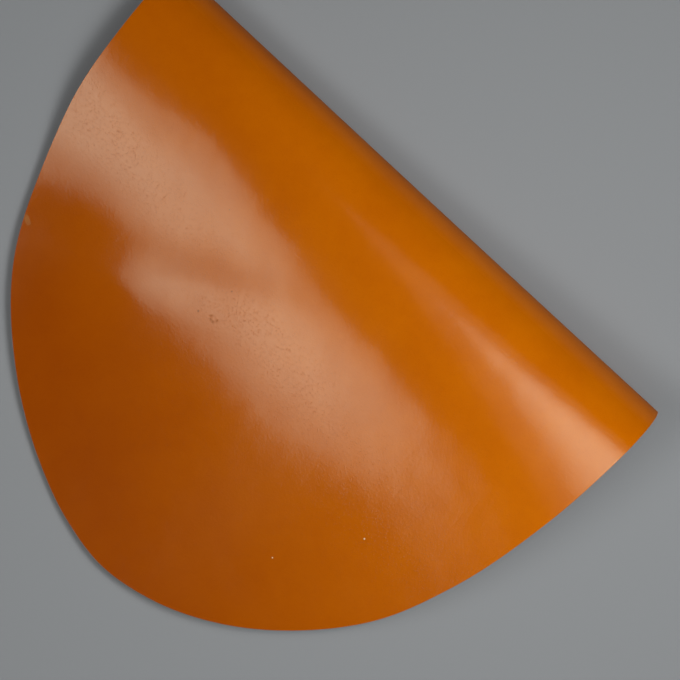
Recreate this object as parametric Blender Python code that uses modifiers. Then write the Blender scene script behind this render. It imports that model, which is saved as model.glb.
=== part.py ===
"""One cut piece of shell cordovan leather, folded over once and lying on a flat surface.

The bend runs along X at the +Y side, and the cut edges of both layers lie towards -Y.
Z is up, and the underside of the lower layer is flat on z = 0. Lengths are in metres.
"""
import math

import bmesh
import bpy
import numpy as np

# ---- Driving dimensions -------------------------------------------------------------
THICKNESS = 0.0018       # the leather itself
SET_BACK = 0.005         # how far the lower layer's edge stays inside the upper one's
GRID_ACROSS = 46         # faces from edge to edge, over the bend
GRID_ALONG = 30          # faces along the bend
BEND_CROWDING = 0.42     # 0 spaces the faces evenly, more draws them towards the bend

# Cut edge of the upper layer seen from above, from one end of the bend to the other.
# along: distance from the left end of the bend. reach: distance from the outside of the bend.
EDGE_COLUMNS = ("along", "reach")
EDGE = (
    (0.000, 0.000),
    (0.002, 0.045),
    (0.008, 0.100),
    (0.020, 0.140),
    (0.044, 0.190),
    (0.083, 0.232),
    (0.133, 0.266),
    (0.173, 0.282),
    (0.204, 0.287),
    (0.240, 0.281),
    (0.279, 0.263),
    (0.314, 0.235),
    (0.344, 0.197),
    (0.361, 0.155),
    (0.374, 0.090),
    (0.378, 0.045),
    (0.380, 0.000),
)

# How the leather rolls over, at places along the bend. The lengths run along the leather from the
# outermost line of the bend, and each fall is in degrees below level.
# nose: height of that outermost line. tuck: how strongly the leather turns under it.
# liftoff: reach at which the lower layer leaves the surface. On the upper layer:
# crest: length to its highest line. shoulder: where it starts to fall away. steep: where it falls
# fastest. level: where it has nearly levelled out. end_fall: what is left of the fall far out.
ROLL_COLUMNS = ("along", "nose", "tuck", "liftoff", "crest", "shoulder", "shoulder_fall",
                "steep", "steep_fall", "level", "level_fall", "end_fall")
ROLL = (
    (0.000, 0.013, 0.0100, 0.044, 0.041, 0.079, 12.0, 0.110, 19.5, 0.188, 1.5, 0.0),
    (0.070, 0.011, 0.0085, 0.041, 0.042, 0.078, 12.0, 0.110, 17.5, 0.173, 1.5, 0.0),
    (0.130, 0.011, 0.0085, 0.042, 0.045, 0.082, 11.0, 0.106, 16.0, 0.213, 2.5, -0.5),
    (0.200, 0.012, 0.0095, 0.043, 0.049, 0.087,  9.5, 0.128, 17.0, 0.207, 3.0, -1.5),
    (0.290, 0.016, 0.0125, 0.048, 0.053, 0.094,  9.0, 0.122, 13.5, 0.199, 5.0, 1.0),
    (0.380, 0.022, 0.0175, 0.054, 0.055, 0.102,  8.5, 0.118, 10.5, 0.225, 7.5, 5.0),
)

# Shallow waves of the upper layer, each a long soft swelling seen from above.
# heading: direction of its crest in degrees from the bend. long and wide: its half sizes.
WAVE_COLUMNS = ("along", "reach", "heading", "long", "wide", "height")
WAVES = (
    (0.125, 0.129, -24.0, 0.060, 0.015, 0.0019),
)


# ---- Curves -------------------------------------------------------------------------
def smooth_through(knots, values, at):
    """A smooth curve through the values at the knots, with an even slope at each knot."""
    knots, values, at = (np.asarray(a, dtype=float) for a in (knots, values, at))
    return joined(knots, values, np.gradient(values, knots), at)


def steady_through(knots, values, at):
    """A smooth curve through the values that never passes beyond two neighbouring ones."""
    knots, values, at = (np.asarray(a, dtype=float) for a in (knots, values, at))
    rise = np.diff(values) / np.diff(knots)
    before, after = rise[:-1], rise[1:]
    level = before * after <= 0
    inner = np.where(level, 0, 2 * before * after / np.where(level, 1, before + after))
    return joined(knots, values, np.concatenate([rise[:1], inner, [0]]), at)


def joined(knots, values, slopes, at):
    """Cubic pieces between the knots that share their values and slopes."""
    i = np.clip(np.searchsorted(knots, at, side="right") - 1, 0, len(knots) - 2)
    gap = knots[i + 1] - knots[i]
    t = (at - knots[i]) / gap
    return (values[i] * (1 + 2 * t) * (1 - t) ** 2 + values[i + 1] * t ** 2 * (3 - 2 * t)
            + gap * slopes[i] * t * (1 - t) ** 2 - gap * slopes[i + 1] * t ** 2 * (1 - t))


def bezier(start, pull_start, pull_end, end, t):
    """Points of a cubic curve between two ends, drawn towards its two pull points."""
    t = t[:, None]
    return (np.outer((1 - t) ** 3, start) + np.outer(3 * t * (1 - t) ** 2, pull_start)
            + np.outer(3 * t ** 2 * (1 - t), pull_end) + np.outer(t ** 3, end))


# ---- The section across the bend ----------------------------------------------------
FAR = 0.36               # the layers are drawn out to here, past any cut edge
FLOOR_LEVEL = THICKNESS / 2


def roll_at(along):
    """The roll's sizes at one distance along the bend."""
    table = np.array(ROLL)
    return {name: float(smooth_through(table[:, 0], table[:, k], along))
            for k, name in enumerate(ROLL_COLUMNS) if k}


def section(along):
    """Middle of the leather across the bend: y, z and length, counted from the nose line.

    The length is negative on the lower layer and positive on the upper one.
    """
    roll = roll_at(along)
    length = np.linspace(0, FAR, 401)
    turn = np.radians(steady_through(
        (0, roll["crest"] / 2, roll["crest"], roll["shoulder"], roll["steep"], roll["level"], FAR),
        (90, 33, 3, -roll["shoulder_fall"], -roll["steep_fall"], -roll["level_fall"],
         -roll["end_fall"]), length))
    step = length[1]
    back = np.concatenate([[0], np.cumsum(np.cos(turn[1:]) + np.cos(turn[:-1])) * step / 2])
    up = np.concatenate([[0], np.cumsum(np.sin(turn[1:]) + np.sin(turn[:-1])) * step / 2])
    over = np.column_stack([-back, roll["nose"] + up])
    under = bezier((0.0, roll["nose"]), (0.0, roll["nose"] - roll["tuck"]),
                   (-0.4 * roll["liftoff"], FLOOR_LEVEL), (-roll["liftoff"], FLOOR_LEVEL),
                   np.linspace(0, 1, 80))
    path = np.vstack([[(-FAR, FLOOR_LEVEL)], under[::-1], over[1:]])
    steps = np.hypot(*np.diff(path, axis=0).T)
    length = np.concatenate([[0], np.cumsum(steps)])
    return path[:, 0], path[:, 1], length - length[len(under)]


def length_to(along, reach, layer):
    """Length of leather from the nose line to a reach, on the upper (+1) or lower (-1) layer."""
    y, _, length = section(along)
    side = length * layer >= 0
    order = np.argsort(-y[side])
    return float(np.interp(reach, -y[side][order], length[side][order]))


def wave_height(along, reach):
    """How far the shallow waves lift the upper layer."""
    lift = 0.0
    for row in WAVES:
        wave = dict(zip(WAVE_COLUMNS, row))
        turn = math.radians(wave["heading"])
        dx, dy = along - wave["along"], reach - wave["reach"]
        lengthways = (dx * math.cos(turn) + dy * math.sin(turn)) / wave["long"]
        sideways = (dy * math.cos(turn) - dx * math.sin(turn)) / wave["wide"]
        lift += wave["height"] * math.exp(-lengthways ** 2 - sideways ** 2)
    return lift


# ---- The flat cut piece -------------------------------------------------------------
def cut_outline():
    """The closed edge of the flat piece: distance along the bend and length across it."""
    upper = [(along, length_to(along, reach, 1)) for along, reach in EDGE]
    lower = [(along, length_to(along, reach - SET_BACK, -1)) for along, reach in EDGE[-2:0:-1]]
    ring = np.array(upper + lower)
    wrapped = np.vstack([ring[-3:], ring, ring[:4]])
    knots = np.concatenate([[0], np.cumsum(np.hypot(*np.diff(wrapped, axis=0).T))])
    at = np.linspace(knots[3], knots[3 + len(ring)], 400, endpoint=False)
    return np.column_stack([smooth_through(knots, wrapped[:, k], at) for k in (0, 1)])


OUTLINE = cut_outline()
MIDDLE = (OUTLINE.max(axis=0) + OUTLINE.min(axis=0)) / 2
HALF = (OUTLINE.max(axis=0) - OUTLINE.min(axis=0)) / 2
BEND_LENGTH = EDGE[-1][0]
CENTRE_REACH = (max(reach for _, reach in EDGE) - THICKNESS / 2) / 2   # middle of the box in Y


def on_flat_piece(p, q):
    """Carry a point of a square, -1 to 1 each way, to the flat cut piece inside its outline."""
    q = q * (1 - BEND_CROWDING + BEND_CROWDING * q * q)
    disc = np.array([p * math.sqrt(1 - q * q / 2), q * math.sqrt(1 - p * p / 2)])
    spokes = (OUTLINE - MIDDLE) / HALF
    angles = np.arctan2(spokes[:, 1], spokes[:, 0])
    order = np.argsort(angles)
    edge = np.interp(math.atan2(disc[1], disc[0]), angles[order],
                     np.hypot(*spokes.T)[order], period=2 * math.pi)
    return MIDDLE + HALF * disc * edge


def folded(p, q):
    """Where a point of the square lies once the piece is cut, folded over and laid down."""
    along, across = on_flat_piece(p, q)
    y, z, length = section(along)
    place_y, place_z = np.interp(across, length, y), np.interp(across, length, z)
    if across > 0:
        place_z += wave_height(along, -place_y)
    return along - BEND_LENGTH / 2, place_y + CENTRE_REACH, place_z


# ---- Model --------------------------------------------------------------------------
for old in list(bpy.data.objects):
    bpy.data.objects.remove(old, do_unlink=True)

collection = bpy.data.collections.new("folded_cordovan")
bpy.context.scene.collection.children.link(collection)


def glazed_leather():
    """Cognac cordovan with a glazed, half-gloss face."""
    material = bpy.data.materials.new("glazed_cordovan")
    material.use_nodes = True
    shader = material.node_tree.nodes["Principled BSDF"]
    shader.inputs["Base Color"].default_value = (0.50, 0.125, 0.008, 1)
    shader.inputs["Roughness"].default_value = 0.35
    shader.inputs["Metallic"].default_value = 0.0
    material.diffuse_color = (0.50, 0.125, 0.008, 1)
    return material


def folded_sheet():
    """A square grid carried to the cut, folded shape, then given the leather's thickness."""
    mesh = bpy.data.meshes.new("cordovan_leather")
    grid = bmesh.new()
    bmesh.ops.create_grid(grid, x_segments=GRID_ALONG, y_segments=GRID_ACROSS, size=1)
    for vertex in grid.verts:
        vertex.co = folded(vertex.co.x, vertex.co.y)
    grid.to_mesh(mesh)
    grid.free()
    mesh.shade_smooth()
    sheet = bpy.data.objects.new("cordovan_leather", mesh)
    collection.objects.link(sheet)
    sheet.data.materials.append(glazed_leather())
    solid = sheet.modifiers.new("leather_thickness", "SOLIDIFY")
    solid.thickness = THICKNESS
    solid.offset = 0
    solid.use_even_offset = True
    return sheet


folded_sheet()
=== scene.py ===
"""A cut piece of glazed cordovan leather, folded over once and laid on a pale board.

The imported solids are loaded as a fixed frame, in metres, with +X along the bend, +Y towards the
outside of the bend and +Z up. One sheet of leather then takes the place of the one solid, with
its glazed face, its flesh side and its cut edge.
"""
import math

import bmesh
import bpy
import numpy as np
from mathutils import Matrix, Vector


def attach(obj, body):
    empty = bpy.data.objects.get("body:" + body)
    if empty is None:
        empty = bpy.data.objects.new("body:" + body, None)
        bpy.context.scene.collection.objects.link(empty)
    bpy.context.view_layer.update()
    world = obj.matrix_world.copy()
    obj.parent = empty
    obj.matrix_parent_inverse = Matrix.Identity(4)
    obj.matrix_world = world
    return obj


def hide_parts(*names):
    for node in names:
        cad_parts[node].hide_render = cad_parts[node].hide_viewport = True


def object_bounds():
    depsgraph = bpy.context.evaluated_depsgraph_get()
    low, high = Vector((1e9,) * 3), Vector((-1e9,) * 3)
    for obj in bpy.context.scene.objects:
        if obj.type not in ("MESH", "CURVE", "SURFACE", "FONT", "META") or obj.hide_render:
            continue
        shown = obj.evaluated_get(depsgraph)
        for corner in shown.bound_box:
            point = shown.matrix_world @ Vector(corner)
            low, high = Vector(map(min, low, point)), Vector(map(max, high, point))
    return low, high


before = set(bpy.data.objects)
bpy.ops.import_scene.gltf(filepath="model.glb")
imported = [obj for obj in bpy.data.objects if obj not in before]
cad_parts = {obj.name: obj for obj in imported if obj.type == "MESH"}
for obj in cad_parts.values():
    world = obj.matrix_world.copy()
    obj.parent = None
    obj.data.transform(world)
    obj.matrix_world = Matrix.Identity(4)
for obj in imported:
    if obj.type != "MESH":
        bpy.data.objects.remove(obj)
cad_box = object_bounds()

# ---- The cut leather --------------------------------------------------------------------
# One oval of shell cordovan, the dense fibrous layer from under the skin of a horse's rump, cut
# out with a knife and folded over on itself without a crease. Nothing fastens the fold. Both
# halves are cut alike, the lower one a little smaller, so that it stays hidden.

LEATHER = "cordovan_leather"
THICKNESS = 0.0018       # the leather itself
SET_BACK = 0.005         # how far the lower layer's edge stays inside the upper one's

# Cut edge of the upper layer seen from above, from one end of the bend to the other. Each row is
# a distance from the left end of the bend and one from the outside of the bend.
EDGE = (
    (0.000, 0.000),
    (0.002, 0.045),
    (0.008, 0.100),
    (0.020, 0.140),
    (0.044, 0.190),
    (0.083, 0.232),
    (0.133, 0.266),
    (0.173, 0.282),
    (0.204, 0.287),
    (0.240, 0.281),
    (0.279, 0.263),
    (0.314, 0.235),
    (0.344, 0.197),
    (0.361, 0.155),
    (0.374, 0.090),
    (0.378, 0.045),
    (0.380, 0.000),
)

BEND_LENGTH = EDGE[-1][0]
CENTRE_REACH = (max(reach for _, reach in EDGE) - THICKNESS / 2) / 2   # middle of the box in Y

# How the leather rolls over, at places along the bend. The lengths run along the leather from the
# outermost line of the bend, and each fall is in degrees below level.
# along: distance from the left end of the bend.
# nose: height of that outermost line. tuck: how strongly the leather turns under it.
# liftoff: reach at which the lower layer leaves the surface. On the upper layer:
# crest: length to its highest line. shoulder: where it starts to fall away. steep: where it falls
# fastest. level: where it has nearly levelled out. end_fall: what is left of the fall far out.
ROLL_COLUMNS = ("along", "nose", "tuck", "liftoff", "crest", "shoulder", "shoulder_fall",
                "steep", "steep_fall", "level", "level_fall", "end_fall")
ROLL = (
    (0.000, 0.013, 0.0100, 0.044, 0.041, 0.079, 12.0, 0.110, 19.5, 0.188, 1.5, 0.0),
    (0.070, 0.011, 0.0085, 0.041, 0.042, 0.078, 12.0, 0.110, 17.5, 0.173, 1.5, 0.0),
    (0.130, 0.011, 0.0085, 0.042, 0.045, 0.082, 11.0, 0.106, 16.0, 0.213, 2.5, -0.5),
    (0.200, 0.012, 0.0095, 0.043, 0.049, 0.087,  9.5, 0.128, 17.0, 0.207, 3.0, -1.5),
    (0.290, 0.016, 0.0125, 0.048, 0.053, 0.094,  9.0, 0.122, 13.5, 0.199, 5.0, 1.0),
    (0.380, 0.022, 0.0175, 0.054, 0.055, 0.102,  8.5, 0.118, 10.5, 0.225, 7.5, 5.0),
)

# Shallow waves of the upper layer, each a long soft swelling seen from above.
# heading: direction of its crest in degrees from the bend. long and wide: its half sizes.
WAVE_COLUMNS = ("along", "reach", "heading", "long", "wide", "height")
WAVES = (
    (0.125, 0.129, -24.0, 0.060, 0.015, 0.0019),
)


def smooth_through(knots, values, at):
    """A smooth curve through the values at the knots, with an even slope at each knot."""
    knots, values, at = (np.asarray(a, dtype=float) for a in (knots, values, at))
    return joined(knots, values, np.gradient(values, knots), at)


def steady_through(knots, values, at):
    """A smooth curve through the values that never passes beyond two neighbouring ones."""
    knots, values, at = (np.asarray(a, dtype=float) for a in (knots, values, at))
    rise = np.diff(values) / np.diff(knots)
    before, after = rise[:-1], rise[1:]
    level = before * after <= 0
    inner = np.where(level, 0, 2 * before * after / np.where(level, 1, before + after))
    return joined(knots, values, np.concatenate([rise[:1], inner, [0]]), at)


def joined(knots, values, slopes, at):
    """Cubic pieces between the knots that share their values and slopes."""
    i = np.clip(np.searchsorted(knots, at, side="right") - 1, 0, len(knots) - 2)
    gap = knots[i + 1] - knots[i]
    t = (at - knots[i]) / gap
    return (values[i] * (1 + 2 * t) * (1 - t) ** 2 + values[i + 1] * t ** 2 * (3 - 2 * t)
            + gap * slopes[i] * t * (1 - t) ** 2 - gap * slopes[i + 1] * t ** 2 * (1 - t))


def bezier(start, pull_start, pull_end, end, t):
    """Points of a cubic curve between two ends, drawn towards its two pull points."""
    t = t[:, None]
    return (np.outer((1 - t) ** 3, start) + np.outer(3 * t * (1 - t) ** 2, pull_start)
            + np.outer(3 * t ** 2 * (1 - t), pull_end) + np.outer(t ** 3, end))


FAR = 0.36               # the layers are drawn out to here, past any cut edge
FLOOR_LEVEL = THICKNESS / 2
OVER_POINTS, UNDER_POINTS = 801, 80      # points of a section over the bend and under it


def roll_at(along):
    """The roll's sizes at one distance along the bend."""
    table = np.array(ROLL)
    return {name: float(smooth_through(table[:, 0], table[:, k], along))
            for k, name in enumerate(ROLL_COLUMNS) if k}


def section(along):
    """Middle of the leather across the bend: y, z and length, counted from the nose line.

    The length is negative on the lower layer and positive on the upper one.
    """
    roll = roll_at(along)
    length = np.linspace(0, FAR, OVER_POINTS)
    # In degrees above level: upright at the nose line, all but level at the crest, then falling.
    turn = np.radians(steady_through(
        (0, roll["crest"] / 2, roll["crest"], roll["shoulder"], roll["steep"], roll["level"], FAR),
        (90, 33, 3, -roll["shoulder_fall"], -roll["steep_fall"], -roll["level_fall"],
         -roll["end_fall"]), length))
    step = length[1]
    back = np.concatenate([[0], np.cumsum(np.cos(turn[1:]) + np.cos(turn[:-1])) * step / 2])
    up = np.concatenate([[0], np.cumsum(np.sin(turn[1:]) + np.sin(turn[:-1])) * step / 2])
    over = np.column_stack([-back, roll["nose"] + up])
    under = bezier((0.0, roll["nose"]), (0.0, roll["nose"] - roll["tuck"]),
                   (-0.4 * roll["liftoff"], FLOOR_LEVEL), (-roll["liftoff"], FLOOR_LEVEL),
                   np.linspace(0, 1, UNDER_POINTS))
    path = np.vstack([[(-FAR, FLOOR_LEVEL)], under[::-1], over[1:]])
    steps = np.hypot(*np.diff(path, axis=0).T)
    length = np.concatenate([[0], np.cumsum(steps)])
    return path[:, 0], path[:, 1], length - length[len(under)]


def length_to(along, reach, layer):
    """Length of leather from the nose line to a reach, on the upper (+1) or lower (-1) layer."""
    y, _, length = section(along)
    side = length * layer >= 0
    order = np.argsort(-y[side])
    return float(np.interp(reach, -y[side][order], length[side][order]))


def wave_height(along, reach):
    """How far the shallow waves lift the upper layer."""
    lift = np.zeros_like(along)
    for row in WAVES:
        wave = dict(zip(WAVE_COLUMNS, row))
        turn = math.radians(wave["heading"])
        dx, dy = along - wave["along"], reach - wave["reach"]
        lengthways = (dx * math.cos(turn) + dy * math.sin(turn)) / wave["long"]
        sideways = (dy * math.cos(turn) - dx * math.sin(turn)) / wave["wide"]
        lift += wave["height"] * np.exp(-lengthways ** 2 - sideways ** 2)
    return lift


OUTLINE_POINTS = 900


def cut_outline():
    """The closed edge of the flat piece: distance along the bend and length across it."""
    upper = [(along, length_to(along, reach, 1)) for along, reach in EDGE]
    lower = [(along, length_to(along, reach - SET_BACK, -1)) for along, reach in EDGE[-2:0:-1]]
    ring = np.array(upper + lower)
    wrapped = np.vstack([ring[-3:], ring, ring[:4]])
    knots = np.concatenate([[0], np.cumsum(np.hypot(*np.diff(wrapped, axis=0).T))])
    at = np.linspace(knots[3], knots[3 + len(ring)], OUTLINE_POINTS, endpoint=False)
    return np.column_stack([smooth_through(knots, wrapped[:, k], at) for k in (0, 1)])


OUTLINE = cut_outline()
MIDDLE = (OUTLINE.max(axis=0) + OUTLINE.min(axis=0)) / 2
HALF = (OUTLINE.max(axis=0) - OUTLINE.min(axis=0)) / 2
BEND_CROWDING = 0.42     # draws the rows of faces towards the bend


def on_flat_piece(p, q):
    """Carry points of a square, -1 to 1 each way, to the flat cut piece inside its outline."""
    q = q * (1 - BEND_CROWDING + BEND_CROWDING * q * q)
    disc = np.column_stack([p * np.sqrt(1 - q * q / 2), q * np.sqrt(1 - p * p / 2)])
    spokes = (OUTLINE - MIDDLE) / HALF
    angles = np.arctan2(spokes[:, 1], spokes[:, 0])
    order = np.argsort(angles)
    edge = np.interp(np.arctan2(disc[:, 1], disc[:, 0]), angles[order],
                     np.hypot(*spokes.T)[order], period=2 * math.pi)
    return (MIDDLE + HALF * disc * edge[:, None]).T


# The roll is drawn at closely spaced stations along the bend, and points between two stations
# lie between their sections.
PAST_THE_ENDS = 0.004
STATION_COUNT, LENGTH_COUNT = 98, 1441
STATIONS = np.linspace(-PAST_THE_ENDS, BEND_LENGTH + PAST_THE_ENDS, STATION_COUNT)
LENGTHS = np.linspace(-FAR, FAR, LENGTH_COUNT)
drawn = [section(along) for along in STATIONS]
SECTION_Y = np.array([np.interp(LENGTHS, length, y) for y, _, length in drawn])
SECTION_Z = np.array([np.interp(LENGTHS, length, z) for _, z, length in drawn])


def between(table, along, across):
    """Read a table of sections between its stations and between its lengths."""
    i = (along - STATIONS[0]) / (STATIONS[1] - STATIONS[0])
    j = (across - LENGTHS[0]) / (LENGTHS[1] - LENGTHS[0])
    i0 = np.clip(i.astype(int), 0, len(STATIONS) - 2)
    j0 = np.clip(j.astype(int), 0, len(LENGTHS) - 2)
    u, v = i - i0, j - j0
    return ((1 - u) * ((1 - v) * table[i0, j0] + v * table[i0, j0 + 1])
            + u * ((1 - v) * table[i0 + 1, j0] + v * table[i0 + 1, j0 + 1]))


def folded(p, q):
    """Where points of the square lie once the piece is cut, folded over and laid down."""
    along, across = on_flat_piece(p, q)
    y, z = between(SECTION_Y, along, across), between(SECTION_Z, along, across)
    z += np.where(across > 0, wave_height(along, -y), 0)
    return np.column_stack([along - BEND_LENGTH / 2, y + CENTRE_REACH, z])


GRID_ACROSS, GRID_ALONG = 190, 120
grid = bmesh.new()
bmesh.ops.create_grid(grid, x_segments=GRID_ALONG, y_segments=GRID_ACROSS, size=1)
square = np.array([vertex.co[:2] for vertex in grid.verts])
for vertex, place in zip(grid.verts, folded(*square.T)):
    vertex.co = place
bmesh.ops.reverse_faces(grid, faces=grid.faces)
leather_mesh = bpy.data.meshes.new("leather_sheet")
grid.to_mesh(leather_mesh)
grid.free()
leather_mesh.shade_smooth()
leather = bpy.data.objects.new("leather_sheet", leather_mesh)
bpy.context.scene.collection.objects.link(leather)

# The sheet gets its thickness, with the flesh side as its second material and the cut edge as
# its third, and the corners of the cut edge are rounded a little.
thickness = leather.modifiers.new("leather_thickness", "SOLIDIFY")
thickness.thickness = THICKNESS
thickness.offset = 0
thickness.use_even_offset = True
thickness.material_offset = 1
thickness.material_offset_rim = 2

EDGE_ROUNDING = 0.00035
corners = leather.modifiers.new("edge_corners", "BEVEL")
corners.width = EDGE_ROUNDING
corners.segments = 2
corners.limit_method = "ANGLE"
corners.angle_limit = math.radians(40)
corners.harden_normals = True


def linear(hex_colour):
    """An sRGB hex colour as linear red, green, blue and alpha."""
    channels = [int(hex_colour[i:i + 2], 16) / 255 for i in (1, 3, 5)]
    return [c / 12.92 if c <= 0.04045 else ((c + 0.055) / 1.055) ** 2.4 for c in channels] + [1]


def add_node(tree, kind, settings=None, **inputs):
    """Add a node, set its settings, and set or link its inputs.

    An input goes by its name, with _ for each space, or by its number, such as in0.
    """
    node = tree.nodes.new(kind)
    for name, value in (settings or {}).items():
        setattr(node, name, value)
    for name, value in inputs.items():
        numbered = name.startswith("in") and name[2:].isdigit()
        key = int(name[2:]) if numbered else name.replace("_", " ")
        if isinstance(value, bpy.types.NodeSocket):
            tree.links.new(value, node.inputs[key])
        else:
            node.inputs[key].default_value = value
    return node


def new_material(name):
    """An empty node material with its output."""
    material = bpy.data.materials.new(name)
    material.use_nodes = True
    material.node_tree.nodes.clear()
    return material, material.node_tree, material.node_tree.nodes.new("ShaderNodeOutputMaterial")


# Small marks on the glazed face, seen from above, and one painted highlight. A nick or a painted
# highlight is a few soft spots side by side. size: how far a spot spreads from its middle.
MARK_COLUMNS = ("x", "y", "size", "colour")
MARKS = (
    (0.0845, -0.0711, 0.0006, "#F6E2BC"),      # specks of dust
    (0.1156, -0.0261, 0.0007, "#F6E2BC"),
    (-0.0453, 0.0044, 0.0008, "#8A3E00"),      # open pinholes
    (-0.0384, 0.0262, 0.0006, "#8A3E00"),
    (-0.0712, 0.0600, 0.0005, "#9A4A00"),
    (-0.0378, 0.0076, 0.0013, "#B25C10"),      # a nick
    (-0.0366, 0.0058, 0.0012, "#AC560C"),
    (-0.0347, 0.0056, 0.0014, "#AC560C"),
    (-0.0335, 0.0076, 0.0012, "#B25C10"),
    (-0.1574, -0.0243, 0.0022, "#AE5E14"),     # a painted highlight at the rim
    (-0.1562, -0.0249, 0.0022, "#B4661C"),
    (-0.1550, -0.0255, 0.0022, "#B4661C"),
    (-0.1538, -0.0261, 0.0022, "#AE5E14"),
)

# Roughness of the glazed face: the clear glaze, the marks, the pinholes and round the bend.
GLAZED, MARKED, PITTED, BENT = 0.13, 0.4, 0.5, 0.7

# The band of deeper pinholes: across it, its middle line's distance from the centre, half its
# width, and how deep the pinholes are far from it.
BAND_ACROSS = (0.19, 0.98, 0.0)
BAND_MIDDLE, BAND_REACH, DEPTH_OUTSIDE = 0.0175, 0.040, 0.3

# A pinhole's edge and its floor, as parts of the distance between pinholes.
PIT_EDGE, PIT_FLOOR = 0.34, 0.06

# The dulling round the bend starts and is full at these distances from its outside.
DULL_FROM, DULL_AT = 0.016, 0.002


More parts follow.
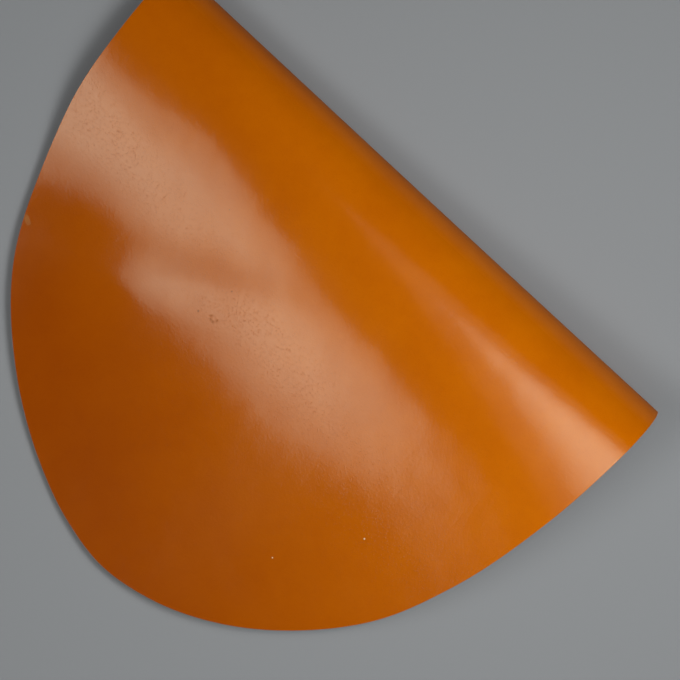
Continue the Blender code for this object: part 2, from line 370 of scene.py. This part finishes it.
def glazed_cordovan():
    """The grain-free face of the shell, stained with aniline dye and glazed under glass.

    The glaze is a clear half-gloss over a warm dye, and its fine pebble, faint pull lines and
    slow unevenness break up the edges of whatever it mirrors.
    """
    material, tree, output = new_material("glazed_cordovan")
    place = add_node(tree, "ShaderNodeTexCoord").outputs["Object"]

    # Colour: it is drawn darker towards the rim, over 260 mm from the bend, and half as fast
    # towards the left end. It is clouded over 45 mm and 7 mm.
    towards_rim = add_node(tree, "ShaderNodeVectorMath", {"operation": "DOT_PRODUCT"}, in0=place,
                           in1=(-0.5, -1.0, 0.0))
    darker_towards_rim = add_node(tree, "ShaderNodeMapRange", Value=towards_rim.outputs["Value"],
                     From_Min=-CENTRE_REACH, From_Max=0.26 - CENTRE_REACH)
    dye = add_node(tree, "ShaderNodeMix", {"data_type": "RGBA"}, Factor=darker_towards_rim.outputs["Result"],
                   in6=linear("#E37700"), in7=linear("#B15100")).outputs[2]
    for size, darkest in ((0.045, "#F9F5F1"), (0.007, "#FDFBF9")):
        cloud = add_node(tree, "ShaderNodeTexNoise", Vector=place, Scale=1 / size, Detail=3.0)
        cover = add_node(tree, "ShaderNodeMapRange", Value=cloud.outputs[0], From_Min=0.62,
                         From_Max=0.38)
        dye = add_node(tree, "ShaderNodeMix", {"data_type": "RGBA", "blend_type": "MULTIPLY"},
                       Factor=cover.outputs["Result"], in6=dye, in7=linear(darkest)).outputs[2]

    # The glaze misses the pinholes, which stay dull, and their colour is darkened as painted shade.
    # They are drawn deepest in a band a little askew of the bend. The real ones are taken as 0.3 mm
    # apart, and they are drawn 1.2 mm apart so that they show.
    across_band = add_node(tree, "ShaderNodeVectorMath", {"operation": "DOT_PRODUCT"}, in0=place,
                           in1=BAND_ACROSS).outputs["Value"]
    from_middle = add_node(tree, "ShaderNodeMath", {"operation": "SUBTRACT"}, in0=across_band,
                           in1=BAND_MIDDLE).outputs[0]
    from_middle = add_node(tree, "ShaderNodeMath", {"operation": "ABSOLUTE"},
                           in0=from_middle).outputs[0]
    coarse = add_node(tree, "ShaderNodeMapRange", {"interpolation_type": "SMOOTHSTEP"},
                      Value=from_middle, From_Min=BAND_REACH, From_Max=0.0,
                      To_Min=DEPTH_OUTSIDE)
    pinholes = add_node(tree, "ShaderNodeTexVoronoi", Vector=place, Scale=1 / 0.0012)
    pits = add_node(tree, "ShaderNodeMapRange", {"interpolation_type": "SMOOTHSTEP"},
                    Value=pinholes.outputs["Distance"], From_Min=PIT_EDGE, From_Max=PIT_FLOOR)
    pits = add_node(tree, "ShaderNodeMath", {"operation": "MULTIPLY"}, in0=pits.outputs["Result"],
                    in1=coarse.outputs["Result"]).outputs[0]
    dye = add_node(tree, "ShaderNodeMix", {"data_type": "RGBA", "blend_type": "MULTIPLY"},
                   Factor=pits, in6=dye, in7=linear("#E6DACB")).outputs[2]
    gloss = add_node(tree, "ShaderNodeMix", Factor=pits, in2=GLAZED, in3=PITTED).outputs[0]

    # Round the outside of the bend the glaze is drawn dull, or it mirrors the board in a strip.
    outwards = add_node(tree, "ShaderNodeSeparateXYZ", Vector=place).outputs["Y"]
    round_bend = add_node(tree, "ShaderNodeMapRange", {"interpolation_type": "SMOOTHSTEP"},
                          Value=outwards, From_Min=CENTRE_REACH - DULL_FROM,
                          From_Max=CENTRE_REACH - DULL_AT)
    gloss = add_node(tree, "ShaderNodeMix", Factor=round_bend.outputs["Result"], in2=gloss,
                     in3=BENT).outputs[0]

    # The marks are half dull, and each fades out towards its size.
    seen_from_above = add_node(tree, "ShaderNodeVectorMath", {"operation": "MULTIPLY"}, in0=place,
                               in1=(1.0, 1.0, 0.0)).outputs["Vector"]
    for row in MARKS:
        mark = dict(zip(MARK_COLUMNS, row))
        away = add_node(tree, "ShaderNodeVectorMath", {"operation": "DISTANCE"},
                        in0=seen_from_above, in1=(mark["x"], mark["y"], 0.0))
        cover = add_node(tree, "ShaderNodeMapRange", {"interpolation_type": "SMOOTHSTEP"},
                         Value=away.outputs["Value"], From_Min=mark["size"],
                         From_Max=mark["size"] / 4)
        dye = add_node(tree, "ShaderNodeMix", {"data_type": "RGBA"}, Factor=cover.outputs["Result"],
                       in6=dye, in7=linear(mark["colour"])).outputs[2]
        gloss = add_node(tree, "ShaderNodeMix", Factor=cover.outputs["Result"], in2=gloss,
                         in3=MARKED).outputs[0]

    # Relief: slow unevenness 28 mm across, pull lines 3.5 mm apart that run across the bend, a fine
    # pebble and the pinholes. The real pebble is taken as 0.3 mm across, and it is drawn 1.6 mm
    # across so that it shows.
    uneven = add_node(tree, "ShaderNodeTexNoise", Vector=place, Scale=1 / 0.028, Detail=1.0)
    relief = add_node(tree, "ShaderNodeBump", Distance=0.00030, Height=uneven.outputs[0])
    drawn_out = add_node(tree, "ShaderNodeMapping", Vector=place,
                         Scale=(1 / 0.0035, 1 / 0.013, 0.0))
    lines = add_node(tree, "ShaderNodeTexNoise", Vector=drawn_out.outputs[0], Scale=1.0,
                     Detail=1.0)
    relief = add_node(tree, "ShaderNodeBump", Distance=0.00003, Height=lines.outputs[0],
                      Normal=relief.outputs[0])
    pebble = add_node(tree, "ShaderNodeTexNoise", Vector=place, Scale=1 / 0.0016, Detail=1.0)
    relief = add_node(tree, "ShaderNodeBump", Distance=0.00003, Height=pebble.outputs[0],
                      Normal=relief.outputs[0])
    relief = add_node(tree, "ShaderNodeBump", Distance=-0.000024, Height=pits,
                      Normal=relief.outputs[0])
    shader = add_node(tree, "ShaderNodeBsdfPrincipled", Base_Color=dye, Roughness=gloss, IOR=1.5,
                      Specular_Tint=linear("#FFFADC"), Normal=relief.outputs[0])
    tree.links.new(shader.outputs[0], output.inputs["Surface"])
    return material


def flesh_side():
    """The inner face, shaved and left raw: a dull pale tan nap of short matted fibres.

    The fibres are taken as 0.2 mm across, and they are drawn 1.2 mm across so that they show.
    """
    material, tree, output = new_material("flesh_side")
    place = add_node(tree, "ShaderNodeTexCoord").outputs["Object"]
    fibres = add_node(tree, "ShaderNodeTexNoise", Vector=place, Scale=1 / 0.0012, Detail=4.0,
                      Distortion=1.5)
    patches = add_node(tree, "ShaderNodeTexNoise", Vector=place, Scale=1 / 0.030, Detail=2.0)
    nap = add_node(tree, "ShaderNodeMix", {"data_type": "RGBA"}, Factor=fibres.outputs[0],
                   in6=linear("#9A6231"), in7=linear("#C58D55"))
    tan = add_node(tree, "ShaderNodeMix", {"data_type": "RGBA", "blend_type": "MULTIPLY"},
                   Factor=patches.outputs[0], in6=nap.outputs[2], in7=linear("#E2C8A8"))
    relief = add_node(tree, "ShaderNodeBump", Distance=0.0002, Height=fibres.outputs[0])
    shader = add_node(tree, "ShaderNodeBsdfPrincipled", Base_Color=tan.outputs[2], Roughness=0.9,
                      Normal=relief.outputs[0])
    tree.links.new(shader.outputs[0], output.inputs["Surface"])
    return material


def cut_edge():
    """The edge as the knife left it: dull packed fibres, dyed a little paler than the face.

    The fibres are taken as 0.2 mm across, and they are drawn 0.8 mm across so that they show.
    """
    material, tree, output = new_material("cut_edge")
    place = add_node(tree, "ShaderNodeTexCoord").outputs["Object"]
    fibres = add_node(tree, "ShaderNodeTexNoise", Vector=place, Scale=1 / 0.0008, Detail=3.0)
    packed = add_node(tree, "ShaderNodeMix", {"data_type": "RGBA"}, Factor=fibres.outputs[0],
                      in6=linear("#8A4A14"), in7=linear("#C07A36"))
    shader = add_node(tree, "ShaderNodeBsdfPrincipled", Base_Color=packed.outputs[2],
                      Roughness=0.75)
    tree.links.new(shader.outputs[0], output.inputs["Surface"])
    return material


for material in (glazed_cordovan(), flesh_side(), cut_edge()):
    leather.data.materials.append(material)

# The sheet stands for the whole solid. Its flat area is that of its outline before folding.
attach(leather, "root")
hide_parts(LEATHER)

# ---- The board --------------------------------------------------------------------------
# A wide plain board that the leather lies on, painted pale grey. The paint is matt, so it takes
# soft shadows and shows no clear reflection. It lies a hair below the leather's underside, so
# that the two faces don't meet.
BOARD_HALF_SIDE = 3
BOARD_DROP = 0.0002
board_mesh = bpy.data.meshes.new("board")
board_grid = bmesh.new()
bmesh.ops.create_grid(board_grid, x_segments=1, y_segments=1, size=BOARD_HALF_SIDE)
board_grid.to_mesh(board_mesh)
board_grid.free()
board = bpy.data.objects.new("board", board_mesh)
bpy.context.scene.collection.objects.link(board)
board.location.z = cad_box[0][2] - BOARD_DROP
material, tree, output = new_material("matt_grey_paint")
shader = add_node(tree, "ShaderNodeBsdfPrincipled", Base_Color=linear("#A2A5A7"), Roughness=0.8)
tree.links.new(shader.outputs[0], output.inputs["Surface"])
board.data.materials.append(material)

# ---- Lamps ------------------------------------------------------------------------------
# Two softboxes, flat diffusers lit from behind, hang over the board square to the camera's own
# sides. A third lamp, right of the camera, gives more light than either but is left out of all
# reflections, as with crossed polarising filters.
CAMERA_TURN = math.radians(43)
CAMERA_PLACE = (0.0268, CENTRE_REACH - 0.0946, 1.15)

# Each softbox is several sheets of light, one above the other, so that it fades towards the edges
# that the leather mirrors. The left one reaches further right in its lower part, dimly there.
# The sheets shine downwards only, and the camera sees through the right one from behind.
# left, right, low and high: the sheet's sides as the camera sees them, from straight under it.
# glow: how bright the sheet looks, where 1 shows as full white. glare: whether it is seen in
# reflections.
LAMP_COLUMNS = ("name", "left", "right", "low", "high", "height", "glow", "glare")
LAMPS = (
    ("left_softbox", -1.50, -0.48, -0.88, -0.38, 1.50, 0.65, True),
    ("left_softbox_2", -1.50, -0.66, -0.88, 0.30, 1.52, 1.9, True),
    ("left_softbox_flap", -0.66, -0.60, -0.88, -0.25, 1.52, 1.9, True),
    ("left_softbox_3", -1.50, -0.72, -0.87, 0.28, 1.54, 0.45, True),
    ("left_softbox_4", -1.50, -0.82, -0.86, 0.26, 1.56, 0.5, True),
    ("left_softbox_5", -1.50, -0.91, -0.84, 0.10, 1.58, 0.7, True),
    ("left_softbox_6", -1.50, -1.00, -0.82, -0.10, 1.60, 0.9, True),
    ("right_softbox", -0.02, 0.40, -0.28, 0.19, 0.68, 0.45, True),
    ("right_softbox_2", 0.05, 0.34, -0.23, 0.12, 0.70, 1.5, True),
    ("right_softbox_3", 0.08, 0.32, -0.20, 0.09, 0.72, 1.4, True),
    ("right_softbox_4", 0.12, 0.30, -0.16, 0.05, 0.74, 1.6, True),
    ("polarised_lamp", 0.20, 0.50, -0.15, 0.15, 1.10, 14.1, False),
)
cosine, sine = math.cos(CAMERA_TURN), math.sin(CAMERA_TURN)
for row in LAMPS:
    side = dict(zip(LAMP_COLUMNS, row))
    wide, tall = side["right"] - side["left"], side["high"] - side["low"]
    right, up = (side["right"] + side["left"]) / 2, (side["high"] + side["low"]) / 2
    light = bpy.data.lights.new(side["name"], "AREA")
    light.shape = "RECTANGLE"
    light.size, light.size_y = wide, tall
    light.energy = side["glow"] * math.pi * wide * tall
    lamp = bpy.data.objects.new(side["name"], light)
    lamp.visible_glossy = side["glare"]
    lamp.location = (CAMERA_PLACE[0] + right * cosine - up * sine,
                     CAMERA_PLACE[1] + right * sine + up * cosine, side["height"])
    lamp.rotation_euler = (0, 0, CAMERA_TURN)
    bpy.context.scene.collection.objects.link(lamp)

# The rest of the studio is all but dark.
world = bpy.data.worlds.new("studio")
world.use_nodes = True
world.node_tree.nodes["Background"].inputs["Color"].default_value = linear("#FFFFFF")
world.node_tree.nodes["Background"].inputs["Strength"].default_value = 0.01
bpy.context.scene.world = world
bpy.context.scene.view_settings.view_transform = "Standard"

# ---- Camera -----------------------------------------------------------------------------
# A long lens that looks straight down, turned so that the bend slants from the upper left to the
# lower right. The left end of the bend is out of view at the top.
camera_data = bpy.data.cameras.new("camera")
camera_data.sensor_width = 36
camera_data.lens = 102.65
camera = bpy.data.objects.new("camera", camera_data)
camera.location = CAMERA_PLACE
camera.rotation_euler = (0, 0, CAMERA_TURN)
bpy.context.scene.collection.objects.link(camera)
bpy.context.scene.camera = camera
